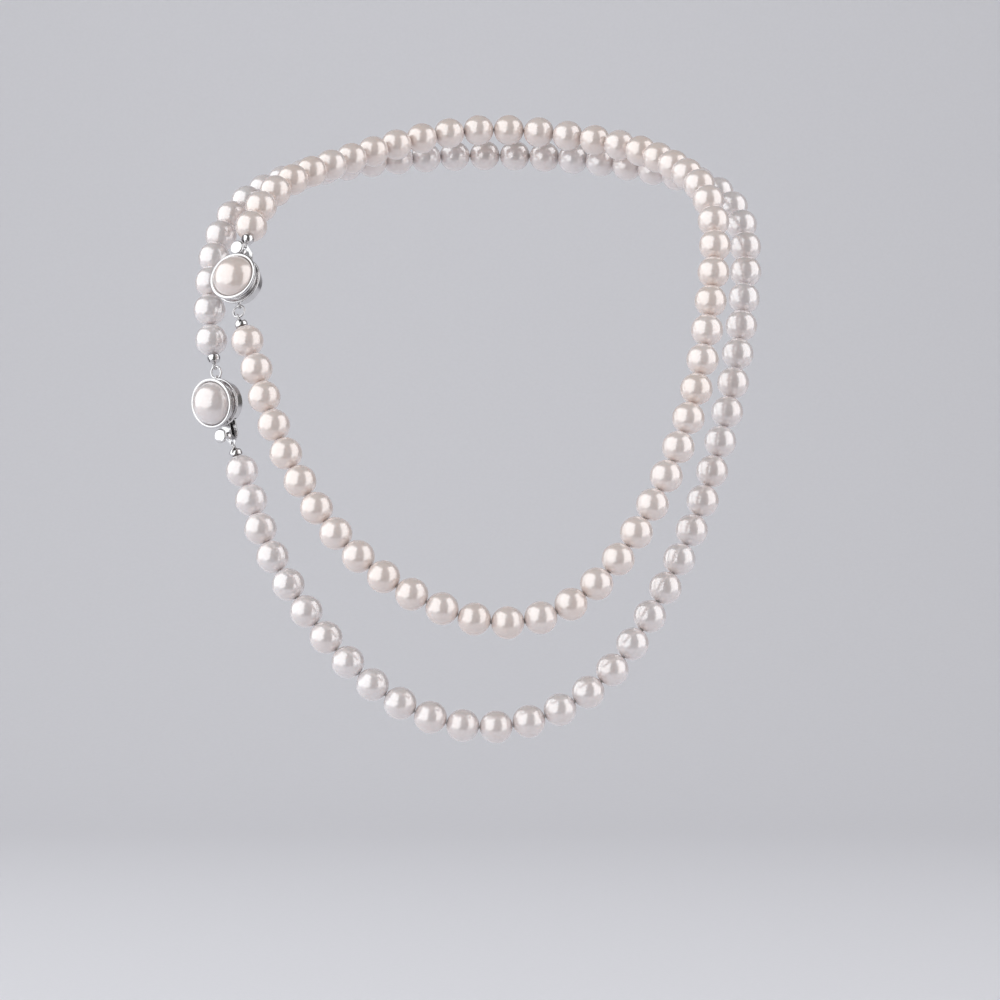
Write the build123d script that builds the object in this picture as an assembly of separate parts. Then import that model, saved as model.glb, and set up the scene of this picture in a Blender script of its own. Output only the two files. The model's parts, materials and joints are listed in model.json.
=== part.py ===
from build123d import *
import math
import os

# Two pearl necklaces worn together, an inner and an outer row. Each is a closed loop
# of drilled pearls on a silk thread, joined by a round box clasp with a half pearl on
# top. The rows lie as they are worn: +X to the wearer's left, +Y to the back, +Z up.
# The origin is where the back of the inner row rests on the neck.

# ---- pearls and thread (mm) ----
PEARL_RADIUS = 4.0
DRILL_RADIUS = 0.4
THREAD_RADIUS = 0.25
PEARL_PITCH = 8.1        # from one gap between pearls to the next, along the thread
THREAD_PLAY = 0.1        # how far a bend of the thread may leave the drill axis
STRAIGHT_TURN = 0.8      # degrees; a smaller turn of the thread is left out
THREAD_END_GAP = 0.03    # between a gap's middle and a thread end, where a joint is
KNOT_RADIUS = 0.6

# ---- clasp box (mm); w is the height above the clasp's middle plane ----
WALL_OUTER_RADIUS = 5.2
WALL_INNER_RADIUS = 4.6
FLOOR_BOTTOM_W = -1.5
FLOOR_TOP_W = -1.1
LID_BOTTOM_W = 1.2
FLANGE_RADIUS = 6.1
FLANGE_TOP_W = 1.9
BOSS_RADIUS = 5.0
BOSS_TOP_W = 2.6
SLOT_HALF_WIDTH = 2.55
SLOT_TOP_W = 0.35
NOTCH_HALF_WIDTH = 1.45
MOUTH_DEPTH = 4.0        # of the cutter that opens the slot and notch in the wall
FLOOR_ROUNDING = 0.15
FLANGE_ROUNDING = 0.25

# ---- bezel cup, half pearl and its post (mm) ----
CUP_FLOOR_TOP_W = 3.0
CUP_BORE_RADIUS = 5.34
CUP_OUTSIDE = [          # (radius, w) from the seat on the lid, round the rim, to the bore
    (BOSS_RADIUS, BOSS_TOP_W), (5.8, 3.3), (6.2, 4.1), (6.2, 4.45),
    (6.0, 4.65), (5.6, 4.65), (CUP_BORE_RADIUS, 4.35),
]
HALF_PEARL_RADIUS = 5.3
HALF_PEARL_GIRDLE_W = 4.3
HALF_PEARL_TOP_W = 8.4
POST_RADIUS = 0.5
POST_TOP_W = 6.0

# ---- ring and lug at the box end (mm) ----
RING_RADIUS = 1.5
RING_WIRE_RADIUS = 0.3
RING_U = -7.6
RING_W = -0.2
LUG_RADIUS = 0.6
LUG_WIRE_RADIUS = 0.22
LUG_STUB_RADIUS = 0.3

# ---- tongue: folded blade, spring leaf and thumb stud (mm) ----
STOCK = 0.36             # sheet that the tongue is folded from
BLADE_BOTTOM_W = -0.95
FOLD_U = -3.6
FOLD_INNER_RADIUS = 0.12
TIP_HALF_WIDTH = 1.7
BLADE_HALF_WIDTH = 2.2
BLADE_SHOULDER_U = 5.0   # where the blade reaches its full width
BLADE_TAPER_U = 8.4
EYE_U = 10.2
EYE_HOLE_RADIUS = 0.47
EYE_OUTER_RADIUS = 0.83
LEAF_THICKNESS = 0.32
LEAF_START = 0.1         # along the leaf, from the bend that it springs about
LEAF_SHOULDER = 7.55
LEAF_END = 13.2
LEAF_HALF_WIDTH = 2.1
LEAF_NECK_HALF_WIDTH = 1.1
LEAF_END_ROUNDING = 0.8
LEAF_RISE_DEG = 2.2      # leaf slope when it is just clear of the slot's edge
STUD_U = 12.0            # along the leaf
STUD_RADIUS = 1.8
STUD_CHAMFER = 0.3
STUD_BOTTOM_W = 2.7
STUD_TOP_W = 3.65
STUD_STEM = [            # (radius, w above the leaf's middle) from the foot upwards
    (1.0, LEAF_THICKNESS / 2), (0.7, 1.2), (0.8, 2.6),
]

# ---- bead tip, measured from the middle of its hook (mm) ----
HOOK_RADIUS = 0.65
HOOK_WIRE_RADIUS = 0.2
TIP_CENTRE = 2.25
TIP_OUTER_RADIUS = 1.6
TIP_INNER_RADIUS = 1.38
TIP_END = 2.95
TIP_FLOOR = 0.3
TIP_FLOOR_RADIUS = 1.2
TIP_HOLE_RADIUS = 0.35
TIP_MOUTH = [            # corners of the gap between the two halves of the shell
    (2.5, 0.15), (0.4, 0.35), (0.4, 1.7), (1.1, 1.7),
]
KNOT_CENTRE = 1.9
THREAD_MOUTH = 3.0       # where the thread enters the end pearl

# ---- where the tongue's and the box's bead tips hook on, along the clasp ----
TONGUE_HOOK_U = EYE_U + (EYE_HOLE_RADIUS + EYE_OUTER_RADIUS) / 2
BOX_HOOK_U = RING_U - RING_RADIUS

# ---- the two rows, in mm from the origin ----
# Each route runs from the clasp's upper end up the right side of the neck, round the
# back and down to the clasp's lower end. "slot" points out of the box's mouth and
# "face" out of the half pearl. The hang directions point from each hook to its pearl.
# "bodies" counts the pearls above the clasp, round the neck, on the other side of the
# neck and in the front of the row.
ROWS = {
    "inner": {
        "upper_end": "tongue",
        "clasp": (-60, -62, -44.5),
        "slot": (0.05, 0.39, 0.92),
        "face": (-0.40, -0.83, 0.38),
        "upper_hang": (0.16, 0.66, 0.73),
        "lower_hang": (0.34, -0.38, -0.86),
        "route": [
            (-49.5, -36, -17), (-39, -22, -11.5), (-22, -5, -4.5), (0, 4, 0),
            (22, 0.5, -2), (39, -11.5, -6.5), (49.5, -29, -13),
            (55.5, -43.5, -20), (57.5, -57, -34), (56, -64.5, -48), (53, -72.5, -66.5),
            (49, -78.5, -80.5), (40, -86, -100.5), (31, -90.5, -114), (19.5, -94, -124),
            (4.5, -95.5, -127.5), (-11, -95.5, -123.5), (-24.5, -93, -116),
            (-36, -88.5, -105.5), (-48, -81, -86.5), (-53.5, -75, -73),
        ],
        "bodies": (3, 18, 6, 26),
    },
    "outer": {
        "upper_end": "box",
        "clasp": (-64.5, -64, -74),
        "slot": (0.213, -0.065, -0.975),
        "face": (-0.554, -0.83, -0.065),
        "upper_hang": (-0.15, 0.30, 0.94),
        "lower_hang": (0.33, -0.30, -0.90),
        "route": [
            (-68, -56.5, -46), (-67.5, -49, -36.5), (-64.5, -40, -27), (-58, -29, -19.5),
            (-46, -13, -13), (-25, 5, -8), (0, 13, -6), (28, 6, -8),
            (48, -7, -12.5), (60, -19.5, -18), (66, -34, -29.5), (65.5, -45.5, -45.5),
            (63, -54.5, -63), (58, -63.5, -85), (50.5, -71, -106.5), (40, -77.5, -127),
            (28, -81.5, -142.5), (14.5, -83.5, -150.5), (2.5, -84, -153),
            (-13, -84.5, -150.5), (-27, -83.5, -142.5), (-43, -79.5, -125),
            (-54.5, -72.5, -105.5),
        ],
        "bodies": (1, 29, 1, 29),
    },
}


def unit(direction):
    return Vector(*direction).normalized()


def square_to(direction, axis):
    """The part of a direction that is square to an axis, at length one."""
    return (direction - axis * direction.dot(axis)).normalized()


def write(node, *solids):
    if len(solids) == 1:
        shape = solids[0]
    else:
        shape = Compound(children=list(solids))
    shape.label = node
    export_step(shape, f"parts/{node}.step")


def extruded(outline, bottom, top):
    """A flat outline in the clasp's plane, between two heights."""
    return extrude(Pos(0, 0, bottom) * outline, top - bottom)


def disc(radius, bottom, top):
    return extruded(Circle(radius), bottom, top)


def along_x(radius, start, end):
    """A rod along X, which is the clasp's slot direction and a bead tip's length."""
    return Pos(start, 0, 0) * Rot(0, 90, 0) * extrude(Circle(radius), end - start)


# ---- the clasp's pieces, with X along the slot, Z out of the face ----
def box_floor():
    plate = disc(WALL_OUTER_RADIUS, FLOOR_BOTTOM_W, FLOOR_TOP_W)
    return fillet(plate.edges().sort_by(Axis.Z)[0], FLOOR_ROUNDING)


def box_wall():
    wall = disc(WALL_OUTER_RADIUS, FLOOR_TOP_W, LID_BOTTOM_W)
    wall -= disc(WALL_INNER_RADIUS, FLOOR_TOP_W, LID_BOTTOM_W)
    mouth = Pos(WALL_OUTER_RADIUS, 0)
    slot = mouth * Rectangle(MOUTH_DEPTH, 2 * SLOT_HALF_WIDTH)
    notch = mouth * Rectangle(MOUTH_DEPTH, 2 * NOTCH_HALF_WIDTH)
    wall -= extruded(slot, FLOOR_TOP_W, SLOT_TOP_W)
    return wall - extruded(notch, SLOT_TOP_W, LID_BOTTOM_W)


def box_lid():
    flange = disc(FLANGE_RADIUS, LID_BOTTOM_W, FLANGE_TOP_W)
    flange = fillet(flange.edges(), FLANGE_ROUNDING)
    boss = disc(BOSS_RADIUS, (LID_BOTTOM_W + FLANGE_TOP_W) / 2, BOSS_TOP_W)
    return flange + boss - disc(POST_RADIUS, LID_BOTTOM_W, BOSS_TOP_W)


def bezel_cup():
    section = Polyline(
        (POST_RADIUS, BOSS_TOP_W), *CUP_OUTSIDE, (CUP_BORE_RADIUS, CUP_FLOOR_TOP_W),
        (POST_RADIUS, CUP_FLOOR_TOP_W), (POST_RADIUS, BOSS_TOP_W),
    )
    return revolve(Plane.XZ * make_face(section), Axis.Z)


def half_pearl():
    height = HALF_PEARL_TOP_W - HALF_PEARL_GIRDLE_W
    dome_radius = (HALF_PEARL_RADIUS ** 2 + height ** 2) / (2 * height)
    blank = disc(HALF_PEARL_RADIUS, CUP_FLOOR_TOP_W, HALF_PEARL_TOP_W)
    blank &= Pos(0, 0, HALF_PEARL_TOP_W - dome_radius) * Sphere(dome_radius)
    return blank - disc(POST_RADIUS, CUP_FLOOR_TOP_W, POST_TOP_W)


def pearl_post():
    return disc(POST_RADIUS, LID_BOTTOM_W, POST_TOP_W)


def box_lug():
    near_wire = Pos(RING_U + RING_RADIUS, 0, RING_W)
    loop = near_wire * Rot(90, 0, 0) * Torus(LUG_RADIUS, LUG_WIRE_RADIUS)
    stub_start = RING_U + RING_RADIUS + LUG_RADIUS
    stub = Pos(0, 0, RING_W) * along_x(LUG_STUB_RADIUS, stub_start, -WALL_INNER_RADIUS)
    return loop + stub - disc(WALL_OUTER_RADIUS, FLOOR_TOP_W, LID_BOTTOM_W)


def box_ring():
    return Pos(RING_U, 0, RING_W) * Torus(RING_RADIUS, RING_WIRE_RADIUS)


def tongue_blade():
    eye = Pos(EYE_U, 0) * Circle(EYE_OUTER_RADIUS)
    outline = make_hull(
        [
            Line((FOLD_U, -TIP_HALF_WIDTH), (FOLD_U, TIP_HALF_WIDTH)),
            Line((BLADE_SHOULDER_U, -BLADE_HALF_WIDTH), (BLADE_SHOULDER_U, BLADE_HALF_WIDTH)),
            Line((BLADE_TAPER_U, -BLADE_HALF_WIDTH), (BLADE_TAPER_U, BLADE_HALF_WIDTH)),
            *eye.edges(),
        ]
    )
    outline -= Pos(EYE_U, 0) * Circle(EYE_HOLE_RADIUS)
    blade = extruded(outline, BLADE_BOTTOM_W, BLADE_BOTTOM_W + STOCK)
    outer_radius = FOLD_INNER_RADIUS + STOCK
    fold = Circle(outer_radius) - Circle(FOLD_INNER_RADIUS)
    fold -= Pos(outer_radius, 0) * Rectangle(2 * outer_radius, 4 * outer_radius)
    fold_axis = Pos(FOLD_U, TIP_HALF_WIDTH, BLADE_BOTTOM_W + outer_radius)
    return blade + fold_axis * Rot(90, 0, 0) * extrude(fold, 2 * TIP_HALF_WIDTH)


def leaf_frame():
    """Where the spring leaf bends: its X runs along the leaf to the thumb stud."""
    bend_w = BLADE_BOTTOM_W + 1.5 * STOCK + 2 * FOLD_INNER_RADIUS
    return Pos(FOLD_U, 0, bend_w) * Rot(0, -LEAF_RISE_DEG, 0)


def spring_leaf():
    outline = make_face(
        Polyline(
            (LEAF_START, -TIP_HALF_WIDTH), (LEAF_SHOULDER, -LEAF_HALF_WIDTH),
            (LEAF_SHOULDER, -LEAF_NECK_HALF_WIDTH), (LEAF_END, -LEAF_NECK_HALF_WIDTH),
            (LEAF_END, LEAF_NECK_HALF_WIDTH), (LEAF_SHOULDER, LEAF_NECK_HALF_WIDTH),
            (LEAF_SHOULDER, LEAF_HALF_WIDTH), (LEAF_START, TIP_HALF_WIDTH),
            (LEAF_START, -TIP_HALF_WIDTH),
        )
    )
    leaf = extruded(outline, -LEAF_THICKNESS / 2, LEAF_THICKNESS / 2)
    end_edges = leaf.edges().filter_by(Axis.Z).group_by(Axis.X)[-1]
    return leaf_frame() * fillet(end_edges, LEAF_END_ROUNDING)


def thumb_stud():
    foot = (0, LEAF_THICKNESS / 2)
    narrow = STUD_RADIUS - STUD_CHAMFER
    section = Polyline(
        foot, *STUD_STEM, (narrow, STUD_BOTTOM_W),
        (STUD_RADIUS, STUD_BOTTOM_W + STUD_CHAMFER),
        (STUD_RADIUS, STUD_TOP_W - STUD_CHAMFER), (narrow, STUD_TOP_W),
        (0, STUD_TOP_W), foot,
    )
    stud = revolve(Plane.XZ * make_face(section), Axis.Z)
    return leaf_frame() * Pos(STUD_U, 0, 0) * stud


# ---- bead tip and knot, with X from the middle of the hook to the pearl ----
def bead_tip():
    centre = Pos(TIP_CENTRE, 0, 0)
    shell = centre * Sphere(TIP_OUTER_RADIUS) - centre * Sphere(TIP_INNER_RADIUS)
    shell &= along_x(TIP_OUTER_RADIUS, 0, TIP_END)
    floor = along_x(TIP_FLOOR_RADIUS, TIP_END - TIP_FLOOR, TIP_END)
    cup = shell + floor - along_x(TIP_HOLE_RADIUS, TIP_CENTRE, TIP_END)
    mouth = make_face(Polyline(*TIP_MOUTH, TIP_MOUTH[0]))
    cup -= extruded(mouth, -TIP_OUTER_RADIUS, TIP_OUTER_RADIUS)
    hook = Rot(90, 0, 0) * Torus(HOOK_RADIUS, HOOK_WIRE_RADIUS)
    neck = along_x(HOOK_WIRE_RADIUS, HOOK_RADIUS, TIP_CENTRE - TIP_INNER_RADIUS)
    return hook + neck + cup


def end_knot():
    return Pos(KNOT_CENTRE, 0, 0) * Sphere(KNOT_RADIUS)


# ---- pearls and thread ----
def gaps_along(route, start, start_hang, end, end_hang):
    """Evenly spaced gaps between pearls, from one end's drill mouth to the other's."""
    first_gap = start + start_hang * PEARL_PITCH
    last_gap = end + end_hang * PEARL_PITCH
    curve = Spline(start, first_gap, *route, last_gap, end)
    count = round(curve.length / PEARL_PITCH)
    print(f"  {count} pearls on {curve.length:.1f} mm, pitch {curve.length / count:.3f}")
    return [curve @ (i / count) for i in range(count + 1)]


def drilled_pearl():
    return Sphere(PEARL_RADIUS) - Cylinder(DRILL_RADIUS, 2 * PEARL_RADIUS)


def string_pearls(node, gaps):
    """One pearl between each two neighbouring gaps, drilled along the thread."""
    pearl = drilled_pearl()
    pairs = zip(gaps, gaps[1:])
    places = [Plane(origin=(a + b) / 2, z_dir=b - a).location for a, b in pairs]
    write(node, *[place * pearl for place in places])


def string_thread(node, points):
    """A round thread through the points, bent as gently as the drill holes let it."""
    turning = [
        here for before, here, after in zip(points, points[1:], points[2:])
        if (here - before).get_angle(after - here) > STRAIGHT_TURN
    ]
    points = [points[0], *turning, points[-1]]
    radii = []
    for before, here, after in zip(points, points[1:], points[2:]):
        turn = math.radians((here - before).get_angle(after - here))
        shorter = min((here - before).length, (after - here).length)
        reach = min(0.45 * shorter, 4 * THREAD_PLAY / turn)
        radii.append(reach / math.tan(turn / 2))
    path = FilletPolyline(*points, radius=radii) if radii else Line(*points)
    circle = Plane(origin=path @ 0, z_dir=path % 0) * Circle(THREAD_RADIUS)
    thread = sweep(circle, path=path)
    area = math.pi * THREAD_RADIUS ** 2
    print(f"  {node}: length {path.length:.1f}, radii {[round(r, 1) for r in radii]},",
          f"volume over section {thread.volume / area:.1f}")
    write(node, thread)


def shortened(points, at_start, at_end):
    """The points, with the first and last moved inwards by the given amounts."""
    first = points[0] + (points[1] - points[0]).normalized() * at_start
    last = points[-1] + (points[-2] - points[-1]).normalized() * at_end
    return [first, *points[1:-1], last]


def make_row(name, row):
    print(f"{name} row")
    slot = unit(row["slot"])
    face = square_to(unit(row["face"]), slot)
    clasp = Plane(origin=row["clasp"], x_dir=slot, z_dir=face)
    hooks = {
        "tongue": clasp.from_local_coords(
            Vector(TONGUE_HOOK_U, 0, BLADE_BOTTOM_W + STOCK / 2)
        ),
        "box": clasp.from_local_coords(Vector(BOX_HOOK_U, 0, RING_W)),
    }
    upper = row["upper_end"]
    lower = "box" if upper == "tongue" else "tongue"
    hangs = {upper: unit(row["upper_hang"]), lower: unit(row["lower_hang"])}

    # the clasp
    box_pieces = [box_wall, box_floor, box_lid, bezel_cup, half_pearl, pearl_post]
    box_pieces += [box_lug, box_ring]
    tongue_pieces = [tongue_blade, spring_leaf, thumb_stud]
    for piece in box_pieces + tongue_pieces:
        write(f"{name}_{piece.__name__}", clasp.location * piece())

    # the bead tips, each hanging from its hook with its knot inside
    mouths = {}
    knot_ends = {}
    for end in (upper, lower):
        hang = hangs[end]
        tip = Plane(origin=hooks[end], x_dir=hang, z_dir=square_to(face, hang))
        write(f"{name}_{end}_bead_tip", tip.location * bead_tip())
        write(f"{name}_{end}_knot", tip.location * end_knot())
        mouths[end] = hooks[end] + hang * THREAD_MOUTH
        knot_ends[end] = hooks[end] + hang * (KNOT_CENTRE + KNOT_RADIUS + 0.02)

    # pearls and thread, split where one body hangs from the next
    route = [Vector(*point) for point in row["route"]]
    gaps = gaps_along(route, mouths[upper], hangs[upper], mouths[lower], hangs[lower])
    start = 0
    for body, count in zip(("upper", "neck", "side", "front"), row["bodies"]):
        stop = start + count
        points = gaps[start:stop + 1]
        string_pearls(f"{name}_{body}_pearls", points)
        if start == 0:
            points = [knot_ends[upper]] + shortened(points, 0, THREAD_END_GAP)
        elif stop == len(gaps) - 1:
            points = shortened(points, THREAD_END_GAP, 0) + [knot_ends[lower]]
        else:
            points = shortened(points, THREAD_END_GAP, THREAD_END_GAP)
        string_thread(f"{name}_{body}_thread", points)
        start = stop

    # joint places, for whoever drives the model
    above, neck, side, _ = row["bodies"]
    pivots = {
        "upper hinge pearl": above,
        "side hinge pearl": above + neck - 1,
        "opening pearl": above + neck + side - 1,
    }
    for label, index in pivots.items():
        middle = (gaps[index] + gaps[index + 1]) / 2
        print(f"  {label}: {tuple(round(v, 3) for v in middle)}")
    opening = (gaps[above + neck + side - 1] + gaps[above + neck + side]) / 2
    lever = (opening - Vector(*row["clasp"])).normalized()
    print(f"  slot is {lever.get_angle(slot):.2f} degrees from the lever")
    print(f"  face: {tuple(round(v, 5) for v in face)}")


for row_name, row_data in ROWS.items():
    make_row(row_name, row_data)
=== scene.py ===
import json
import math

import bmesh
import bpy
from mathutils import Matrix, Vector, noise

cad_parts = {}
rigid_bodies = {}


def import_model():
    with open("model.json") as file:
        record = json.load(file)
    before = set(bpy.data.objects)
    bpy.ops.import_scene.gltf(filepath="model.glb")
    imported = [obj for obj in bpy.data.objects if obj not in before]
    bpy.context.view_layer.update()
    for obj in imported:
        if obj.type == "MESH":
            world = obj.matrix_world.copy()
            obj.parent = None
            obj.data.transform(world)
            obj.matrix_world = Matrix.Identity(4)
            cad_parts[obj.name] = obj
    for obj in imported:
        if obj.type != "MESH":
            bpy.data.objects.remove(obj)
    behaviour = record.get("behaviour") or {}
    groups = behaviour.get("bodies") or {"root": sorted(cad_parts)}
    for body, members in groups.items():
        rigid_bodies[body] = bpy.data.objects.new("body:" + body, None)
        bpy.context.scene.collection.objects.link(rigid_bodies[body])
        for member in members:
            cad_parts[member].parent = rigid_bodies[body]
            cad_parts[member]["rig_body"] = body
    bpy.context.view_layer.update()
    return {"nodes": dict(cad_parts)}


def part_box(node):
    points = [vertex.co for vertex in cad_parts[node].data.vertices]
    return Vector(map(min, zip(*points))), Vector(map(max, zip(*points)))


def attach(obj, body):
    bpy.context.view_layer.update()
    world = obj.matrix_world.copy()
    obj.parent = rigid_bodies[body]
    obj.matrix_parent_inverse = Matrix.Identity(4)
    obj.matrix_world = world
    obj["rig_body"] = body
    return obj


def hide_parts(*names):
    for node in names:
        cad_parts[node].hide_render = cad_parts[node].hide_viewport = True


# Two pearl rows, each closed by a round box clasp under a half pearl, finished around
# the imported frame. Pieces are shaped in millimetres and then placed in metres.
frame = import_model()
scene = bpy.context.scene

MM = 0.001
ROWS = ("inner", "outer")
BODIES_OF_PEARLS = ("upper", "neck", "side", "front")   # along the strand, from its upper end
UPPER_END = {"inner": "tongue", "outer": "box"}
LOWER_END = {"inner": "box", "outer": "tongue"}

# ---- pearls, thread and knots (mm) ----
PEARL_SEGMENTS = 52
PEARL_RINGS = 36
PEARL_RADIUS = 4.0
DRILL_RADIUS = 0.4
DRILL_EASING = 0.14       # how far the drill mouth's edge is worn round
OUT_OF_ROUND = 0.006      # share of the radius
HALF_GAP_STEP = 4.05      # from a pearl's middle to the gap beside it
THREAD_END_GAP = 0.09     # from a gap's middle; a ply's slanted end stands 0.06 past it
THREAD_RADIUS = 0.25
THREAD_PLIES = 3
PLY_RADIUS = 0.125
TWIST_PITCH = 1.5
KNOT_RADIUS = 0.6
KNOT_STRAND_RADIUS = 0.17

# ---- clasp (mm), w above its middle plane, u along its slot ----
POST_MIDDLE_W = 3.6
POST_RADIUS = 0.5
POST_TOP_W = 6.0
WALL_OUTER_RADIUS = 5.2
WALL_INNER_RADIUS = 4.6
FLOOR_BOTTOM_W = -1.5
FLOOR_TOP_W = -1.1
LID_BOTTOM_W = 1.2
FLANGE_RADIUS = 6.1
FLANGE_TOP_W = 1.9
BOSS_RADIUS = 5.0
BOSS_TOP_W = 2.6
SLOT_HALF_WIDTH = 2.55
SLOT_TOP_W = 0.35
NOTCH_HALF_WIDTH = 1.45
MOUTH_START_U = 3.2       # the cutters of the slot and notch, through the wall
MOUTH_END_U = 7.2
CUP_FLOOR_TOP_W = 3.0
CUP_BORE_RADIUS = 5.34
CUP_OUTSIDE = [           # (radius, w) from the seat on the lid, round the rim, to the bore
    (BOSS_RADIUS, BOSS_TOP_W), (5.8, 3.3), (6.2, 4.0), (6.2, 4.5),
    (5.95, 4.66), (5.55, 4.66), (CUP_BORE_RADIUS, 4.4),
]
HALF_PEARL_RADIUS = 5.3
HALF_PEARL_GIRDLE_W = 4.3
HALF_PEARL_TOP_W = 8.4
RING_U = -7.6
RING_W = -0.2
RING_RADIUS = 1.5
RING_WIRE_RADIUS = 0.3
LUG_RADIUS = 0.6
LUG_WIRE_RADIUS = 0.22
LUG_STUB = [              # (radius, distance) from its foot in the loop to the wall
    (0, 0), (0.3, 0), (0.3, 0.45), (0.55, 0.95), (0, 0.95),
]
LUG_STUB_REACH = 0.45     # how far the stub stands out of the wall
STOCK = 0.36
BLADE_BOTTOM_W = -0.95
FOLD_U = -3.6
FOLD_INNER_RADIUS = 0.12
TIP_HALF_WIDTH = 1.7
BLADE_SHOULDER_U = 5.0
BLADE_HALF_WIDTH = 2.2
BLADE_TAPER_U = 8.4
EYE_U = 10.2
EYE_HOLE_RADIUS = 0.47
EYE_OUTER_RADIUS = 0.83
LEAF_THICKNESS = 0.32
LEAF_START = 0.1
LEAF_SHOULDER = 7.55
LEAF_END = 13.2
LEAF_HALF_WIDTH = 2.1
LEAF_NECK_HALF_WIDTH = 1.1
LEAF_RISE_DEG = 2.2
STUD_U = 12.0
STUD_OUTLINE = [          # (radius, w above the leaf's middle) from the foot upwards
    (0, 0.16), (1.0, 0.16), (0.72, 0.7), (0.7, 2.2), (1.0, 2.7), (1.55, 2.72),
    (1.8, 2.95), (1.8, 3.32), (1.55, 3.58), (0.9, 3.68), (0, 3.72),
]

# ---- bead tip (mm), x from the middle of its hook to the pearl ----
HOOK_RADIUS = 0.65
HOOK_WIRE_RADIUS = 0.2
SHELL_CENTRE = 2.25
SHELL_OUTER_RADIUS = 1.6
SHELL_INNER_RADIUS = 1.38
SHELL_END = 2.95
SHELL_FLOOR = 0.3
SHELL_HOLE_RADIUS = 0.35
SHELL_MOUTH = [           # corners of the gap between the two halves of the shell
    (2.5, 0.15), (0.3, 0.38), (0.3, 1.9), (1.15, 1.9),
]


# ---- mesh helpers ----
def new_object(name, mesh):
    obj = bpy.data.objects.new(name, mesh)
    scene.collection.objects.link(obj)
    return obj


def mesh_from(name, verts, faces):
    mesh = bpy.data.meshes.new(name)
    mesh.from_pydata(verts, [], faces)
    return mesh


def clean(mesh, join=1e-4):
    """Joins doubled points, drops slivers and turns the faces outwards."""
    bm = bmesh.new()
    bm.from_mesh(mesh)
    bmesh.ops.remove_doubles(bm, verts=bm.verts, dist=join)
    bmesh.ops.dissolve_degenerate(bm, edges=bm.edges, dist=join)
    bmesh.ops.recalc_face_normals(bm, faces=bm.faces)
    bm.to_mesh(mesh)
    bm.free()
    return mesh


def joined(name, *meshes):
    """Several meshes as one."""
    bm = bmesh.new()
    for mesh in meshes:
        bm.from_mesh(mesh)
        bpy.data.meshes.remove(mesh)
    whole = bpy.data.meshes.new(name)
    bm.to_mesh(whole)
    bm.free()
    return whole


def evaluated(obj):
    """An object's mesh with its modifiers applied; the object is removed."""
    graph = bpy.context.evaluated_depsgraph_get()
    mesh = bpy.data.meshes.new_from_object(obj.evaluated_get(graph))
    bpy.data.objects.remove(obj)
    return mesh


def bevelled(mesh, width, segments=3, angle=35):
    obj = new_object("bevelling", mesh)
    bevel = obj.modifiers.new("edges", "BEVEL")
    bevel.width = width
    bevel.segments = segments
    bevel.limit_method = "ANGLE"
    bevel.angle_limit = math.radians(angle)
    bevel.use_clamp_overlap = True
    return evaluated(obj)


def cut(mesh, *cutters):
    """A mesh less the cutters."""
    obj = new_object("cutting", mesh)
    tools = []
    for cutter in cutters:
        tool = new_object("cutter", cutter)
        tools.append(tool)
        boolean = obj.modifiers.new("cut", "BOOLEAN")
        boolean.operation = "DIFFERENCE"
        boolean.solver = "EXACT"
        boolean.object = tool
    result = evaluated(obj)
    for tool in tools:
        bpy.data.objects.remove(tool)
    return result


def eased(points, reach, steps=4, closed=True):
    """Points whose corners are turned by short curves that start `reach` from each corner."""
    points = [Vector(p) for p in points]
    result = []
    last = len(points) - 1
    for i, here in enumerate(points):
        if not closed and i in (0, last):
            result.append(here)
            continue
        before = points[i - 1] - here
        after = points[(i + 1) % len(points)] - here
        room = min(reach, 0.48 * before.length, 0.48 * after.length)
        start = here + before.normalized() * room
        stop = here + after.normalized() * room
        for k in range(steps + 1):
            t = k / steps
            result.append(start * (1 - t) ** 2 + here * (2 * t * (1 - t)) + stop * t ** 2)
    return result


def arc(centre, radius, first, last, steps):
    """Points on an arc in the plane, angles in degrees."""
    angles = [math.radians(first + (last - first) * k / steps) for k in range(steps + 1)]
    return [(centre[0] + radius * math.cos(a), centre[1] + radius * math.sin(a)) for a in angles]


def lathe(name, outline, segments=96):
    """A closed outline of (radius, height) points turned about Z."""
    verts = []
    for k in range(segments):
        a = 2 * math.pi * k / segments
        verts += [(r * math.cos(a), r * math.sin(a), h) for r, h in outline]
    n = len(outline)
    faces = []
    for k in range(segments):
        here, ahead = k * n, (k + 1) % segments * n
        for i in range(n):
            j = (i + 1) % n
            faces.append((here + i, ahead + i, ahead + j, here + j))
    return clean(mesh_from(name, verts, faces))


def tube(name, path, radius, sides=12, closed=False):
    """A round wire along points; `radius` may be a function of the share of the way."""
    path = [Vector(p) for p in path]
    count = len(path)
    verts = []
    side = None
    for i, here in enumerate(path):
        ahead = path[(i + 1) % count] if closed or i + 1 < count else here
        behind = path[i - 1] if closed or i else here
        along = (ahead - behind).normalized()
        if side is None:
            side = along.orthogonal().normalized()
        side = (side - along * side.dot(along)).normalized()
        up = along.cross(side)
        r = radius(i / (count - 1)) if callable(radius) else radius
        for k in range(sides):
            a = 2 * math.pi * k / sides
            verts.append(here + side * (r * math.cos(a)) + up * (r * math.sin(a)))
    faces = []
    for i in range(count if closed else count - 1):
        here, ahead = i * sides, (i + 1) % count * sides
        for k in range(sides):
            j = (k + 1) % sides
            faces.append((here + k, here + j, ahead + j, ahead + k))
    if not closed:
        faces.append(tuple(reversed(range(sides))))
        faces.append(tuple(range((count - 1) * sides, count * sides)))
    return clean(mesh_from(name, verts, faces))


def ring_points(radius, first, last, steps):
    """A circle or part of one in the XY plane, as 3-D points."""
    return [Vector((x, y, 0)) for x, y in arc((0, 0), radius, first, last, steps)]


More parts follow.
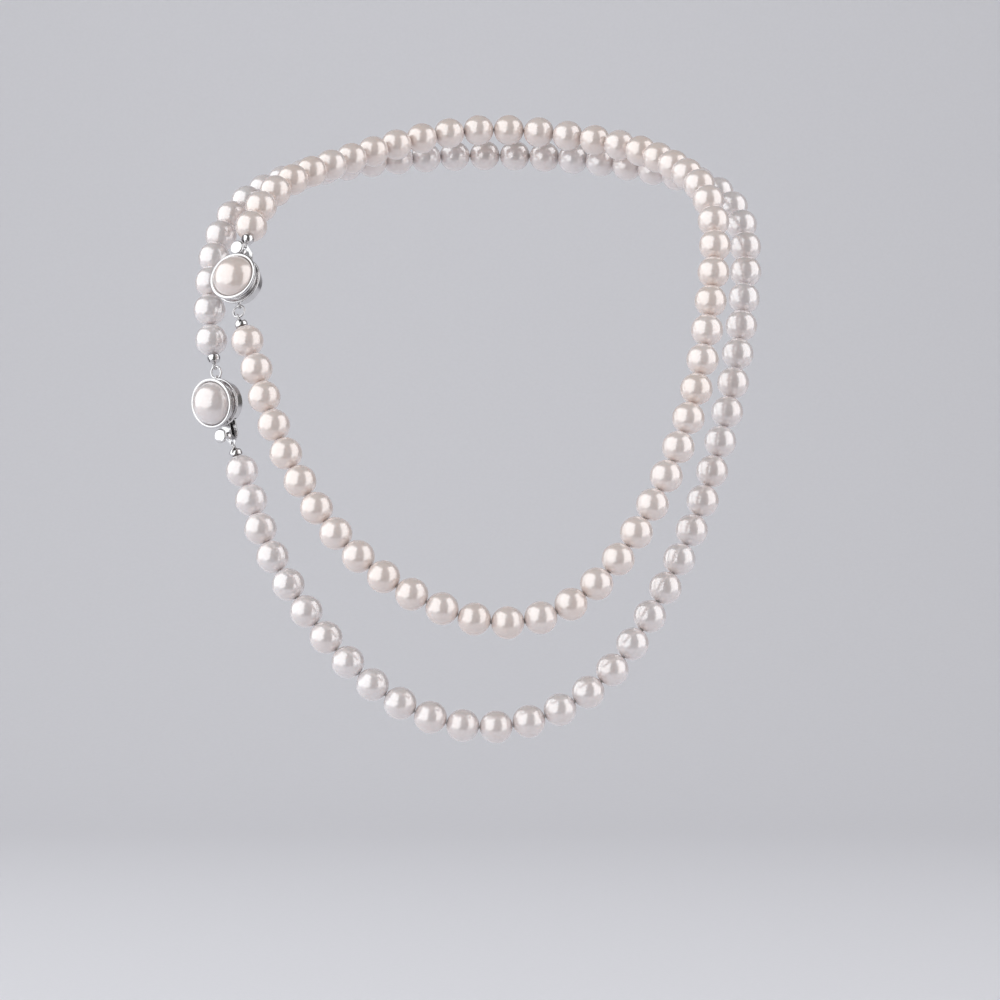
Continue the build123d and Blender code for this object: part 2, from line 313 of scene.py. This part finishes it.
def plate(name, outline, bottom, top, holes=(), bevel=0.05):
    """A flat plate from an outline in XY, with eased edges and any holes."""
    bm = bmesh.new()
    lower = [bm.verts.new((x, y, bottom)) for x, y in outline]
    face = bm.faces.new(lower)
    raised = bmesh.ops.extrude_face_region(bm, geom=[face])
    tops = [v for v in raised["geom"] if isinstance(v, bmesh.types.BMVert)]
    bmesh.ops.translate(bm, verts=tops, vec=(0, 0, top - bottom))
    mesh = bpy.data.meshes.new(name)
    bm.to_mesh(mesh)
    bm.free()
    clean(mesh)
    cutters = []
    for x, y, radius in holes:
        ends = [(0, bottom - 1), (radius, bottom - 1), (radius, top + 1), (0, top + 1)]
        cutter = lathe("hole", ends, 40)
        cutter.transform(Matrix.Translation((x, y, 0)))
        cutters.append(cutter)
    if cutters:
        mesh = cut(mesh, *cutters)
    return bevelled(mesh, bevel)


def prism(name, outline, bottom, top):
    """A four-cornered outline in XY raised along Z, used as a cutter."""
    verts = [(x, y, z) for z in (bottom, top) for x, y in outline]
    sides = [(i, (i + 1) % 4, (i + 1) % 4 + 4, i + 4) for i in range(4)]
    return clean(mesh_from(name, verts, [(3, 2, 1, 0), (4, 5, 6, 7), *sides]))


def mouth_cutter(name, half_width, bottom, top):
    """A block through the box wall at the mouth."""
    outline = [
        (MOUTH_START_U, -half_width), (MOUTH_END_U, -half_width),
        (MOUTH_END_U, half_width), (MOUTH_START_U, half_width),
    ]
    return prism(name, outline, bottom, top)


def turned(mesh, degrees, axis):
    mesh.transform(Matrix.Rotation(math.radians(degrees), 4, axis))
    return mesh


def moved(mesh, x, y, z):
    mesh.transform(Matrix.Translation((x, y, z)))
    return mesh


# ---- materials ----
class Shader:
    """A node material with one Principled surface and a few helpers."""

    def __init__(self, name):
        self.material = bpy.data.materials.new(name)
        self.material.use_nodes = True
        self.tree = self.material.node_tree
        self.surface = self.tree.nodes["Principled BSDF"]
        self.place = self.tree.nodes.new("ShaderNodeTexCoord").outputs["Object"]

    def node(self, kind, **inputs):
        made = self.tree.nodes.new("ShaderNode" + kind)
        for name, value in inputs.items():
            self.put(made.inputs[name.replace("_", " ")], value)
        return made

    def put(self, socket, value):
        if isinstance(value, bpy.types.NodeSocket):
            self.tree.links.new(value, socket)
        else:
            socket.default_value = value

    def set(self, **inputs):
        for name, value in inputs.items():
            self.put(self.surface.inputs[name.replace("_", " ")], value)

    def noise(self, scale, detail=2.0, stretch=None, roughness=0.5):
        place = self.place
        if stretch:
            scaled = self.node("Mapping", Vector=place, Scale=stretch)
            place = scaled.outputs["Vector"]
        made = self.node("TexNoise", Vector=place, Scale=scale, Detail=detail, Roughness=roughness)
        return made.outputs["Fac"]

    def ramp(self, factor, *stops):
        """Colour stops as (position, (r, g, b))."""
        made = self.node("ValToRGB", Fac=factor)
        ramp = made.color_ramp
        for _ in stops[2:]:
            ramp.elements.new(0.5)
        for element, (position, colour) in zip(ramp.elements, stops):
            element.position = position
            element.color = (*colour, 1)
        return made.outputs["Color"]

    def span(self, factor, low, high):
        """A 0 to 1 value stretched to run from low to high."""
        made = self.node("MapRange", Value=factor, From_Min=0.3, From_Max=0.7, To_Min=low, To_Max=high)
        return made.outputs["Result"]

    def bump(self, height, strength, distance):
        made = self.node("Bump", Height=height, Strength=strength, Distance=distance)
        return made.outputs["Normal"]

    def mix(self, factor, a, b, blend="MIX"):
        made = self.tree.nodes.new("ShaderNodeMix")
        made.data_type = "RGBA"
        made.blend_type = blend
        self.put(made.inputs["Factor"], factor)
        self.put(made.inputs["A"], a)
        self.put(made.inputs["B"], b)
        return made.outputs["Result"]


def nacre(name, body, overtone):
    """Pearl: a warm body under a broad satin lustre, with overtones that drift from pearl to pearl."""
    shader = Shader(name)
    drift = shader.noise(scale=75, detail=1.0)
    body_tone = shader.ramp(drift, (0.35, body), (0.65, overtone))
    mottle = shader.noise(scale=1400, detail=3.0)
    grain = shader.ramp(mottle, (0.3, (0.72, 0.62, 0.56)), (0.7, (1.0, 0.97, 0.95)))
    mottled = shader.mix(0.10, body_tone, grain)
    satin = shader.span(shader.noise(scale=900, detail=2.0), 0.20, 0.27)
    skin = shader.noise(scale=2600, detail=4.0, roughness=0.6)
    shader.set(
        Base_Color=mottled, Roughness=satin, Normal=shader.bump(skin, 0.05, 0.00004),
        Metallic=0.15, IOR=1.65, Specular_IOR_Level=1.0,
        Coat_Weight=1.0, Coat_Roughness=0.17, Coat_IOR=1.8,
        Subsurface_Weight=0.12, Subsurface_Radius=(1.0, 0.7, 0.55), Subsurface_Scale=0.0012,
    )
    return shader.material


def plated(name, tone, low_roughness, high_roughness):
    """Polished rhodium plate with faint handling marks and hairline scratches."""
    shader = Shader(name)
    haze = shader.noise(scale=700, detail=3.0)
    tint = shader.ramp(haze, (0.3, tone), (0.7, tuple(0.93 * v for v in tone)))
    hairlines = shader.noise(scale=3000, detail=2.0, stretch=(1.0, 0.12, 1.0))
    shader.set(
        Base_Color=tint, Metallic=1.0,
        Roughness=shader.span(haze, low_roughness, high_roughness),
        Normal=shader.bump(hairlines, 0.04, 0.00003),
    )
    return shader.material


def silk():
    shader = Shader("silk_thread")
    fibre = shader.noise(scale=9000, detail=3.0)
    shader.set(
        Base_Color=shader.ramp(fibre, (0.3, (0.80, 0.76, 0.70)), (0.7, (0.93, 0.90, 0.86))),
        Roughness=0.65, Sheen_Weight=0.4, Sheen_Roughness=0.4,
        Normal=shader.bump(fibre, 0.3, 0.00005),
    )
    return shader.material


INNER_NACRE = nacre("nacre_warm", (0.76, 0.64, 0.59), (0.77, 0.67, 0.64))
OUTER_NACRE = nacre("nacre_white", (0.75, 0.665, 0.65), (0.76, 0.705, 0.71))
NACRE = {"inner": INNER_NACRE, "outer": OUTER_NACRE}
PLATE = plated("rhodium_plate", (0.70, 0.685, 0.69), 0.07, 0.14)
SPRING = plated("rhodium_spring", (0.67, 0.66, 0.665), 0.12, 0.20)
SILK = silk()


# ---- pieces of the object ----
def add_piece(mesh, node, material, sharp=38):
    """Puts a finished mesh in the scene in place of its CAD node."""
    mesh.materials.clear()
    mesh.materials.append(material)
    mesh.polygons.foreach_set("use_smooth", [True] * len(mesh.polygons))
    mesh.set_sharp_from_angle(angle=math.radians(sharp))
    mesh.name = node + "_visual"
    obj = new_object(node + "_visual", mesh)
    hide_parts(node)
    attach(obj, frame["nodes"][node]["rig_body"])
    return obj


def middle(node):
    low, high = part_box(node)
    return (Vector(low) + Vector(high)) / 2


def long_edges(node, longer_than):
    """The middle and direction of each loose part's long straight edges, which run
    along its drill hole or its round side: one (centre, axis) for each part."""
    bm = bmesh.new()
    bm.from_mesh(frame["nodes"][node].data)
    bmesh.ops.remove_doubles(bm, verts=bm.verts, dist=1e-7)
    bm.verts.ensure_lookup_table()
    seen = [False] * len(bm.verts)
    found = []
    for first in bm.verts:
        if seen[first.index]:
            continue
        seen[first.index] = True
        stack = [first]
        centre, axis, count = Vector(), Vector(), 0
        while stack:
            vert = stack.pop()
            for edge in vert.link_edges:
                other = edge.other_vert(vert)
                if not seen[other.index]:
                    seen[other.index] = True
                    stack.append(other)
                if edge.calc_length() > longer_than:
                    along = (other.co - vert.co).normalized()
                    centre += (vert.co + other.co) / 2
                    axis += along if axis.dot(along) >= 0 else -along
                    count += 1
        found.append((centre / count, axis.normalized()))
    bm.free()
    return found


def pearl_outline():
    """(radius, height) round a drilled pearl's section: bore, eased mouth, and bead."""
    mouth = DRILL_RADIUS + DRILL_EASING
    first = math.degrees(math.asin(mouth / PEARL_RADIUS))
    round_side = [(r, h) for h, r in arc((0, 0), PEARL_RADIUS, first, 180 - first, PEARL_RINGS)]
    lip = math.sqrt(PEARL_RADIUS ** 2 - DRILL_RADIUS ** 2)
    corner = [(DRILL_RADIUS, lip - DRILL_EASING), (DRILL_RADIUS, lip), round_side[0]]
    upper = eased(corner, DRILL_EASING, 3, closed=False)
    lower = [(r, -h) for r, h in reversed(upper)]
    return [*upper[:-1], *round_side, *lower[1:]]


def pearls_mesh(node, places):
    """The pearls of one body, each very slightly out of round in its own way."""
    outline = pearl_outline()
    verts = []
    faces = []
    n = len(outline)
    for centre, axis in places:
        base = len(verts)
        turn = axis.to_track_quat("Z", "Y").to_matrix()
        lean = noise.noise(centre * 90)
        for k in range(PEARL_SEGMENTS):
            a = 2 * math.pi * (k / PEARL_SEGMENTS + lean)
            for r, h in outline:
                local = Vector((r * math.cos(a), r * math.sin(a), h))
                point = turn @ local
                ripple = noise.noise(point * 0.28 + centre * 700)
                point *= 1 - OUT_OF_ROUND * (0.5 + 0.5 * ripple)
                verts.append(centre + point * MM)
        for k in range(PEARL_SEGMENTS):
            here = base + k * n
            ahead = base + (k + 1) % PEARL_SEGMENTS * n
            for i in range(n):
                j = (i + 1) % n
                faces.append((here + i, here + j, ahead + j, ahead + i))
    mesh = mesh_from(node, verts, faces)
    return clean(mesh, join=1e-8)


def strand(row):
    """All pearls of a row as (body, centre, axis), from the upper end of the clasp on,
    with every axis pointing along the strand."""
    waiting = []
    for body in BODIES_OF_PEARLS:
        found = long_edges(f"{row}_{body}_pearls", 1.8 * PEARL_RADIUS * MM)
        waiting += [(body, centre, axis) for centre, axis in found]
    here = middle(f"{row}_{UPPER_END[row]}_knot")
    ordered = []
    while waiting:
        nearest = min(waiting, key=lambda pearl: (pearl[1] - here).length)
        waiting.remove(nearest)
        body, centre, axis = nearest
        if axis.dot(centre - here) < 0:
            axis = -axis
        ordered.append((body, centre, axis))
        here = centre
    return ordered


def thread_path(row, body, pearls):
    """The thread's corner points in one body, in metres."""
    step = HALF_GAP_STEP * MM
    gaps = []
    for (_, before, along), (_, after, onward) in zip(pearls, pearls[1:]):
        gaps.append((before + along * step + after - onward * step) / 2)
    members = [i for i, pearl in enumerate(pearls) if pearl[0] == body]
    first, last = members[0], members[-1]
    knot_reach = KNOT_RADIUS * 0.8 * MM
    if first == 0:
        knot = middle(f"{row}_{UPPER_END[row]}_knot")
        mouth = pearls[0][1] - pearls[0][2] * (PEARL_RADIUS * MM)
        start = [knot + (mouth - knot).normalized() * knot_reach, mouth]
    else:
        start = [gaps[first - 1]]
    if last == len(pearls) - 1:
        knot = middle(f"{row}_{LOWER_END[row]}_knot")
        mouth = pearls[-1][1] + pearls[-1][2] * (PEARL_RADIUS * MM)
        stop = [mouth, knot + (mouth - knot).normalized() * knot_reach]
    else:
        stop = [gaps[last]]
    path = [*start, *gaps[first:last], *stop]
    shorten = THREAD_END_GAP * MM
    if first:
        path[0] = path[0] + (path[1] - path[0]).normalized() * shorten
    if last < len(pearls) - 1:
        path[-1] = path[-1] + (path[-2] - path[-1]).normalized() * shorten
    return path


def thread_mesh(name, path):
    """Plies twisted together along a path given in metres."""
    corners = eased([p / MM for p in path], 1.2, 3, closed=False)
    total = sum((b - a).length for a, b in zip(corners, corners[1:]))
    count = round(total / (TWIST_PITCH / 6))
    step = total / count
    points = [corners[0]]
    walked = 0.0
    for a, b in zip(corners, corners[1:]):
        length = (b - a).length
        while walked + step <= length and len(points) < count:
            walked += step
            points.append(a + (b - a) * (walked / length))
        walked -= length
    points.append(corners[-1])
    lay = THREAD_RADIUS - PLY_RADIUS
    plies = []
    for ply in range(THREAD_PLIES):
        side = (points[1] - points[0]).orthogonal().normalized()
        line = []
        for i, here in enumerate(points):
            along = (points[min(i + 1, len(points) - 1)] - points[max(i - 1, 0)]).normalized()
            side = (side - along * side.dot(along)).normalized()
            a = 2 * math.pi * (ply / THREAD_PLIES + i * step / TWIST_PITCH)
            line.append(here + side * (lay * math.cos(a)) + along.cross(side) * (lay * math.sin(a)))
        plies.append(tube(name, line, PLY_RADIUS, sides=6))
    mesh = joined(name, *plies)
    mesh.transform(Matrix.Scale(MM, 4))
    return mesh


def knot_mesh(name, centre):
    """A pulled-tight overhand knot."""
    line = []
    steps = 60
    spread = (KNOT_RADIUS - KNOT_STRAND_RADIUS) / 3
    for k in range(steps):
        t = 2 * math.pi * k / steps
        line.append((
            spread * (math.sin(t) + 2 * math.sin(2 * t)),
            spread * (math.cos(t) - 2 * math.cos(2 * t)),
            -spread * 1.6 * math.sin(3 * t),
        ))
    mesh = tube(name, line, KNOT_STRAND_RADIUS, sides=10, closed=True)
    mesh.transform(Matrix.Translation(centre) @ Matrix.Scale(MM, 4))
    return mesh


# ---- clasp pieces, in mm in the clasp's own frame ----
def box_floor():
    corners = [
        (0, FLOOR_BOTTOM_W), (WALL_OUTER_RADIUS, FLOOR_BOTTOM_W),
        (WALL_OUTER_RADIUS, FLOOR_TOP_W), (0, FLOOR_TOP_W),
    ]
    low = eased(corners[0:3], 0.16, 4, closed=False)
    return lathe("box_floor", [*low, corners[3]])


def box_wall():
    corners = [
        (WALL_INNER_RADIUS, FLOOR_TOP_W), (WALL_OUTER_RADIUS, FLOOR_TOP_W),
        (WALL_OUTER_RADIUS, LID_BOTTOM_W), (WALL_INNER_RADIUS, LID_BOTTOM_W),
    ]
    wall = lathe("box_wall", corners, 128)
    slot = mouth_cutter("slot", SLOT_HALF_WIDTH, FLOOR_TOP_W - 1, SLOT_TOP_W)
    notch = mouth_cutter("notch", NOTCH_HALF_WIDTH, SLOT_TOP_W - 1, LID_BOTTOM_W + 1)
    return bevelled(cut(wall, slot, notch), 0.045)


def box_lid():
    flange = eased(
        [
            (POST_RADIUS, LID_BOTTOM_W), (FLANGE_RADIUS, LID_BOTTOM_W), (FLANGE_RADIUS, FLANGE_TOP_W),
            (BOSS_RADIUS, FLANGE_TOP_W), (BOSS_RADIUS, BOSS_TOP_W), (POST_RADIUS, BOSS_TOP_W),
        ],
        0.3, 5, closed=False,
    )
    return lathe("box_lid", flange)


def bezel_cup():
    outside = eased(
        [
            (POST_RADIUS, BOSS_TOP_W), *CUP_OUTSIDE,
            (CUP_BORE_RADIUS, CUP_FLOOR_TOP_W), (POST_RADIUS, CUP_FLOOR_TOP_W),
        ],
        0.22, 4, closed=False,
    )
    return lathe("bezel_cup", outside, 112)


def half_pearl():
    rise = HALF_PEARL_TOP_W - HALF_PEARL_GIRDLE_W
    radius = (HALF_PEARL_RADIUS ** 2 + rise ** 2) / (2 * rise)
    centre_w = HALF_PEARL_TOP_W - radius
    girdle = math.degrees(math.atan2(HALF_PEARL_GIRDLE_W - centre_w, HALF_PEARL_RADIUS))
    dome = arc((0, centre_w), radius, girdle, 90, 34)
    foot = [(POST_RADIUS, CUP_FLOOR_TOP_W), (HALF_PEARL_RADIUS, CUP_FLOOR_TOP_W), dome[0]]
    seat = eased(foot, 0.15, 3, closed=False)
    outline = [(0, POST_TOP_W), (POST_RADIUS, POST_TOP_W), *seat, *dome[1:]]
    mesh = lathe("half_pearl", outline, 96)
    for vert in mesh.vertices:
        if vert.co.z > HALF_PEARL_GIRDLE_W:
            ripple = noise.noise(vert.co * 0.22)
            lift = (vert.co.z - HALF_PEARL_GIRDLE_W) / rise
            vert.co *= 1 - OUT_OF_ROUND * lift * (0.5 + 0.5 * ripple)
    return mesh


def box_lug():
    loop = tube("loop", ring_points(LUG_RADIUS, 0, 345, 40)[:-1], LUG_WIRE_RADIUS, 14)
    loop = moved(turned(loop, 90, "X"), RING_U + RING_RADIUS, 0, RING_W)
    stub = lathe("stub", eased(LUG_STUB, 0.12, 3, closed=False), 32)
    stub = moved(turned(stub, 90, "Y"), -WALL_OUTER_RADIUS - LUG_STUB_REACH, 0, RING_W)
    return joined("box_lug", loop, stub)


def box_ring():
    seam = 2.4   # degrees left open between the ring's ends
    wire = tube("ring", ring_points(RING_RADIUS, 130, 490 - seam, 84), RING_WIRE_RADIUS, 18)
    return moved(bevelled(wire, 0.03), RING_U, 0, RING_W)


def tongue_blade():
    reach = Vector((EYE_U - BLADE_TAPER_U, -BLADE_HALF_WIDTH))
    tangent = math.atan2(reach.y, reach.x) + math.asin(EYE_OUTER_RADIUS / reach.length)
    eye = math.degrees(tangent) + 90
    round_eye = arc((EYE_U, 0), EYE_OUTER_RADIUS, eye, -eye, 24)
    side = [
        (FOLD_U, TIP_HALF_WIDTH), (BLADE_SHOULDER_U, BLADE_HALF_WIDTH),
        (BLADE_TAPER_U, BLADE_HALF_WIDTH), round_eye[0],
    ]
    shoulder = eased(side, 0.35, 4, closed=False)
    upper = [(p[0], p[1]) for p in shoulder[:-1]]
    lower = [(x, -y) for x, y in reversed(upper)]
    sheet = plate(
        "sheet", [*upper, *round_eye, *lower], BLADE_BOTTOM_W, BLADE_BOTTOM_W + STOCK,
        holes=[(EYE_U, 0, EYE_HOLE_RADIUS)],
    )
    outer = FOLD_INNER_RADIUS + STOCK
    section = [*arc((0, 0), outer, 90, 270, 20), *arc((0, 0), FOLD_INNER_RADIUS, 270, 90, 12)]
    fold = plate("fold", section, -TIP_HALF_WIDTH, TIP_HALF_WIDTH, bevel=0.04)
    fold = moved(turned(fold, 90, "X"), FOLD_U, 0, BLADE_BOTTOM_W + outer)
    return joined("tongue_blade", sheet, fold)


def leaf_place():
    bend_w = BLADE_BOTTOM_W + 1.5 * STOCK + 2 * FOLD_INNER_RADIUS
    rise = Matrix.Rotation(math.radians(-LEAF_RISE_DEG), 4, "Y")
    return Matrix.Translation((FOLD_U, 0, bend_w)) @ rise


def spring_leaf():
    half = eased(
        [
            (LEAF_START, TIP_HALF_WIDTH), (LEAF_SHOULDER, LEAF_HALF_WIDTH),
            (LEAF_SHOULDER, LEAF_NECK_HALF_WIDTH + 0.25), (LEAF_SHOULDER + 0.4, LEAF_NECK_HALF_WIDTH),
            (LEAF_END - 0.75, LEAF_NECK_HALF_WIDTH), (LEAF_END, 0.35), (LEAF_END, 0),
        ],
        0.3, 4, closed=False,
    )
    upper = [(p[0], p[1]) for p in half[:-1]]
    lower = [(x, -y) for x, y in reversed(upper)]
    leaf = plate("spring_leaf", [*upper, *lower], -LEAF_THICKNESS / 2, LEAF_THICKNESS / 2)
    leaf.transform(leaf_place())
    return leaf


def thumb_stud():
    outline = eased(STUD_OUTLINE, 0.2, 4, closed=False)
    stud = moved(lathe("thumb_stud", outline, 72), STUD_U, 0, 0)
    stud.transform(leaf_place())
    return stud


# ---- bead tip, in mm, with X from the middle of its hook to the pearl ----
def bead_tip():
    start = math.degrees(math.acos((SHELL_END - SHELL_CENTRE) / SHELL_OUTER_RADIUS))
    floor_x = SHELL_END - SHELL_FLOOR
    inner = math.degrees(math.acos((floor_x - SHELL_CENTRE) / SHELL_INNER_RADIUS))
    outside = [(r, x) for x, r in arc((SHELL_CENTRE, 0), SHELL_OUTER_RADIUS, 180, start, 26)]
    inside = [(r, x) for x, r in arc((SHELL_CENTRE, 0), SHELL_INNER_RADIUS, inner, 180, 22)]
    outline = [*outside, (SHELL_HOLE_RADIUS, SHELL_END), (SHELL_HOLE_RADIUS, floor_x), *inside]
    shell = turned(lathe("shell", outline, 56), 90, "Y")
    shell = bevelled(cut(shell, prism("gap", SHELL_MOUTH, -2, 2)), 0.05)
    hook = tube("hook", ring_points(HOOK_RADIUS, 14, 374, 44)[:-1], HOOK_WIRE_RADIUS, 14)
    hook = turned(bevelled(hook, 0.05), 90, "X")
    neck = tube("neck", [(HOOK_RADIUS - 0.1, 0, 0), (HOOK_RADIUS + 0.1, 0, 0), (0.95, 0, 0)], 0.26, 14)
    return joined("bead_tip", shell, hook, neck)


def place_matrix(origin, x_axis, z_axis):
    """From a piece's own millimetres to the frame's metres."""
    y_axis = z_axis.cross(x_axis)
    turn = Matrix((x_axis, y_axis, z_axis)).transposed().to_4x4()
    return Matrix.Translation(origin) @ turn @ Matrix.Scale(MM, 4)


def square_to(direction, axis):
    return (direction - axis * direction.dot(axis)).normalized()


def clasp_matrix(row):
    """The clasp's own frame, from the post under the half pearl and the end ring."""
    centre, face = long_edges(f"{row}_pearl_post", 4 * MM)[0]
    if face.dot(centre - middle(f"{row}_box_floor")) < 0:
        face = -face
    origin = centre - face * (POST_MIDDLE_W * MM)
    slot = square_to(origin - middle(f"{row}_box_ring"), face)
    return place_matrix(origin, slot, face)


def build_clasp(row):
    place = clasp_matrix(row)
    face = place.to_3x3().col[2].normalized()
    pieces = [
        (box_floor, "silver_metal", PLATE), (box_wall, "silver_metal", PLATE),
        (box_lid, "silver_metal", PLATE), (bezel_cup, "silver_metal", PLATE),
        (half_pearl, "nacre", NACRE[row]), (box_lug, "silver_metal", PLATE),
        (box_ring, "silver_metal", PLATE), (tongue_blade, "spring_metal", SPRING),
        (spring_leaf, "spring_metal", SPRING), (thumb_stud, "silver_metal", PLATE),
    ]
    for make, slot, material in pieces:
        mesh = make()
        mesh.transform(place)
        add_piece(mesh, f"{row}_{make.__name__}", material)
    # The post is hidden in the half pearl, so it keeps its CAD shape.
    post = frame["nodes"][f"{row}_pearl_post"]
    post.data.materials.clear()
    post.data.materials.append(PLATE)
    hooks = {
        "tongue": Vector((
            EYE_U + (EYE_HOLE_RADIUS + EYE_OUTER_RADIUS) / 2, 0, BLADE_BOTTOM_W + STOCK / 2,
        )),
        "box": Vector((RING_U - RING_RADIUS, 0, RING_W)),
    }
    for end, local in hooks.items():
        hook = place @ local
        knot = middle(f"{row}_{end}_knot")
        hang = (knot - hook).normalized()
        tip = bead_tip()
        tip.transform(place_matrix(hook, hang, square_to(face, hang)))
        add_piece(tip, f"{row}_{end}_bead_tip", PLATE)
        add_piece(knot_mesh(f"{row}_{end}_knot", knot), f"{row}_{end}_knot", SILK)


def build_strand(row):
    pearls = strand(row)
    for body in BODIES_OF_PEARLS:
        places = [(centre, axis) for owner, centre, axis in pearls if owner == body]
        node = f"{row}_{body}_pearls"
        add_piece(pearls_mesh(node, places), node, NACRE[row])
        node = f"{row}_{body}_thread"
        add_piece(thread_mesh(node, thread_path(row, body, pearls)), node, SILK)


for row_name in ROWS:
    build_strand(row_name)
    build_clasp(row_name)


# ---- studio: pale floor and backdrop, two soft panels, camera ----
CAMERA_PLACE = Vector((0.004, -0.996, -0.098))
CAMERA_LENS = 136.1
AIM = Vector((0.0, -0.05, -0.08))
PAPER_TONE = (0.72, 0.715, 0.745)
PAPER_HALF_WIDTH = 3.0
PAPER_BACK_Y = 2.2
PAPER_BEND = 0.9
PAPER_TOP_Z = 3.0
FLOOR_Z = -0.30
FLOOR_JOIN_Y = -0.36      # where the sweep ends and the front of the floor begins
FLOOR_FRONT_Y = -3.5


def stage_object(name, verts, faces, material, smooth=False):
    mesh = mesh_from(name, verts, faces)
    mesh.materials.append(material)
    mesh.polygons.foreach_set("use_smooth", [smooth] * len(mesh.polygons))
    obj = new_object(name, mesh)
    return obj


def paper(name, tone):
    shader = Shader(name)
    fibre = shader.noise(scale=400, detail=4.0)
    shader.set(
        Base_Color=shader.ramp(fibre, (0.3, tone), (0.7, tuple(1.02 * v for v in tone))),
        Roughness=0.9, Normal=shader.bump(fibre, 0.05, 0.0002), Specular_IOR_Level=0.1,
    )
    return shader.material


def sweep():
    """A paper sweep: flat floor behind and under the rows, curving up into the backdrop,
    and a front of the floor that the shiny pieces don't mirror."""
    profile = [(FLOOR_JOIN_Y, FLOOR_Z), (PAPER_BACK_Y - PAPER_BEND, FLOOR_Z)]
    bend_middle = (PAPER_BACK_Y - PAPER_BEND, FLOOR_Z + PAPER_BEND)
    profile += arc(bend_middle, PAPER_BEND, -90, 0, 24)[1:]
    profile += [(PAPER_BACK_Y, PAPER_TOP_Z)]
    verts = [(x, y, z) for y, z in profile for x in (-PAPER_HALF_WIDTH, PAPER_HALF_WIDTH)]
    faces = [(2 * i, 2 * i + 1, 2 * i + 3, 2 * i + 2) for i in range(len(profile) - 1)]
    stage_object("paper_sweep", verts, faces, paper("sweep_paper", PAPER_TONE), smooth=True)
    front = [
        (-PAPER_HALF_WIDTH, FLOOR_FRONT_Y, FLOOR_Z), (PAPER_HALF_WIDTH, FLOOR_FRONT_Y, FLOOR_Z),
        (PAPER_HALF_WIDTH, FLOOR_JOIN_Y, FLOOR_Z), (-PAPER_HALF_WIDTH, FLOOR_JOIN_Y, FLOOR_Z),
    ]
    apron = stage_object("floor_front", front, [(0, 1, 2, 3)], paper("floor_paper", PAPER_TONE))
    apron.visible_glossy = False


def soft_panel(name, azimuth, elevation, distance, width, height, roll, power, colour):
    """A soft rectangular light, azimuth to the right of the camera's side."""
    a, e = math.radians(azimuth), math.radians(elevation)
    away = Vector((math.sin(a) * math.cos(e), -math.cos(a) * math.cos(e), math.sin(e)))
    light = bpy.data.lights.new(name, "AREA")
    light.shape = "RECTANGLE"
    light.size, light.size_y = width, height
    light.energy = power
    light.color = colour
    obj = bpy.data.objects.new(name, light)
    obj.location = AIM + away * distance
    turn = away.to_track_quat("Z", "Y").to_matrix()
    obj.rotation_euler = (turn @ Matrix.Rotation(math.radians(roll), 3, "Z")).to_euler()
    obj.visible_camera = False
    scene.collection.objects.link(obj)
    return obj


def backdrop_wash():
    """A light from above and behind, for the paper only: the pieces don't mirror it."""
    wash = soft_panel(
        "backdrop_wash", azimuth=180, elevation=62, distance=1.5,
        width=2.6, height=0.8, roll=0, power=13, colour=(0.96, 0.97, 1.0),
    )
    wash.rotation_euler = (math.radians(40), 0, 0)
    wash.visible_glossy = False


def world():
    """Pale where the camera sees past the paper, dim in what the pieces mirror."""
    pale, dim = (0.60, 0.60, 0.63, 1), (0.16, 0.155, 0.15, 1)
    made = bpy.data.worlds.new("studio")
    made.use_nodes = True
    tree = made.node_tree
    background = tree.nodes["Background"]
    path = tree.nodes.new("ShaderNodeLightPath")
    mix = tree.nodes.new("ShaderNodeMix")
    mix.data_type = "RGBA"
    mix.inputs["A"].default_value = dim
    mix.inputs["B"].default_value = pale
    tree.links.new(path.outputs["Is Camera Ray"], mix.inputs["Factor"])
    tree.links.new(mix.outputs["Result"], background.inputs["Color"])
    scene.world = made


def camera():
    data = bpy.data.cameras.new("camera")
    data.lens = CAMERA_LENS
    data.sensor_width = 36.0
    data.clip_start, data.clip_end = 0.01, 20
    obj = bpy.data.objects.new("camera", data)
    obj.location = CAMERA_PLACE
    obj.rotation_euler = (math.radians(90), 0, 0)
    scene.collection.objects.link(obj)
    scene.camera = obj


sweep()
soft_panel(
    "left_panel", azimuth=-68, elevation=17, distance=1.0,
    width=2.4, height=2.1, roll=14, power=26.5, colour=(0.95, 0.985, 1.0),
)
soft_panel(
    "right_panel", azimuth=73, elevation=13, distance=1.0,
    width=1.15, height=2.2, roll=-12, power=13, colour=(0.98, 0.99, 1.0),
)
backdrop_wash()
world()
camera()
scene.view_settings.view_transform = "Standard"
